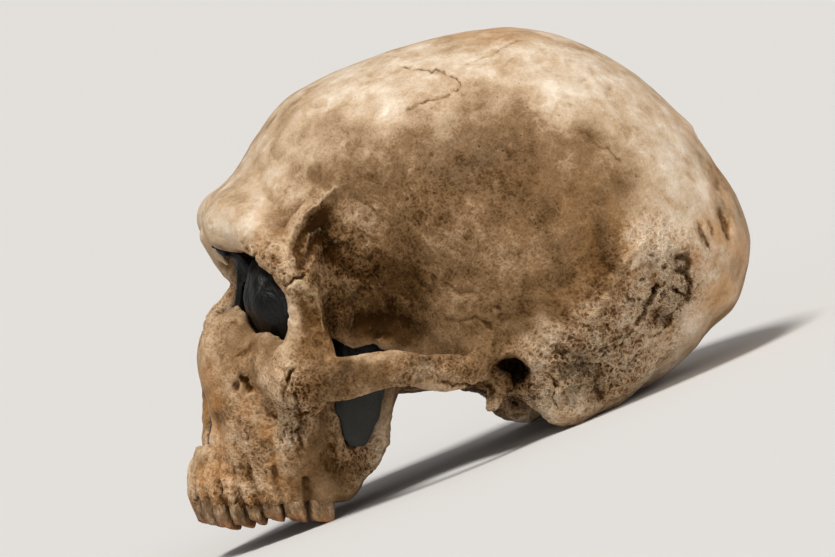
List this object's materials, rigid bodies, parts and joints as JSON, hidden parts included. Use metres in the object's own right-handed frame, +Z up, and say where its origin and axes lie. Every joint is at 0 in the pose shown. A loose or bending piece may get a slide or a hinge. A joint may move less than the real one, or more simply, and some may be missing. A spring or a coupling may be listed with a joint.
{
  "type": "fossil hominin cranium",
  "caption": "Long, low fossil hominin cranium with heavy brow ridges, worn upper teeth, hollow braincase and dark filler in the orbits, nose and cheeks.",
  "frame": {"origin": "centre of the bounding box on the floor that the skull rests on", "axes": "+Z up, -X towards the face, +X towards the back of the head, -Y the skull's left side and +Y its right side; the skull rests tilted back by 21.9 degrees from the level of the ears and orbits"},
  "size_m": [0.233, 0.1507, 0.1534],
  "materials": {
    "fossil_bone": "mottled ivory, tan and brown bone, satin, with pits, cracks and scratches",
    "worn_tooth": "orange-brown worn enamel and root, satin",
    "dark_filler": "near-black smooth modelling filler with a dull sheen"
  },
  "bodies": {
    "root": {"cranium": "fossil_bone", "left_incisor_1": "worn_tooth", "left_incisor_2": "worn_tooth", "left_canine": "worn_tooth", "left_premolar_1": "worn_tooth", "left_premolar_2": "worn_tooth", "left_molar_1": "worn_tooth", "left_molar_2": "worn_tooth", "left_molar_3": "worn_tooth", "right_incisor_1": "worn_tooth", "right_incisor_2": "worn_tooth", "right_canine": "worn_tooth", "right_premolar_1": "worn_tooth", "right_premolar_2": "worn_tooth", "right_molar_1": "worn_tooth", "right_molar_2": "worn_tooth", "right_molar_3": "worn_tooth", "left_orbit_filler": "dark_filler", "right_orbit_filler": "dark_filler", "nose_filler": "dark_filler", "left_cheek_filler": "dark_filler", "right_cheek_filler": "dark_filler"}
  },
  "joints": []
}
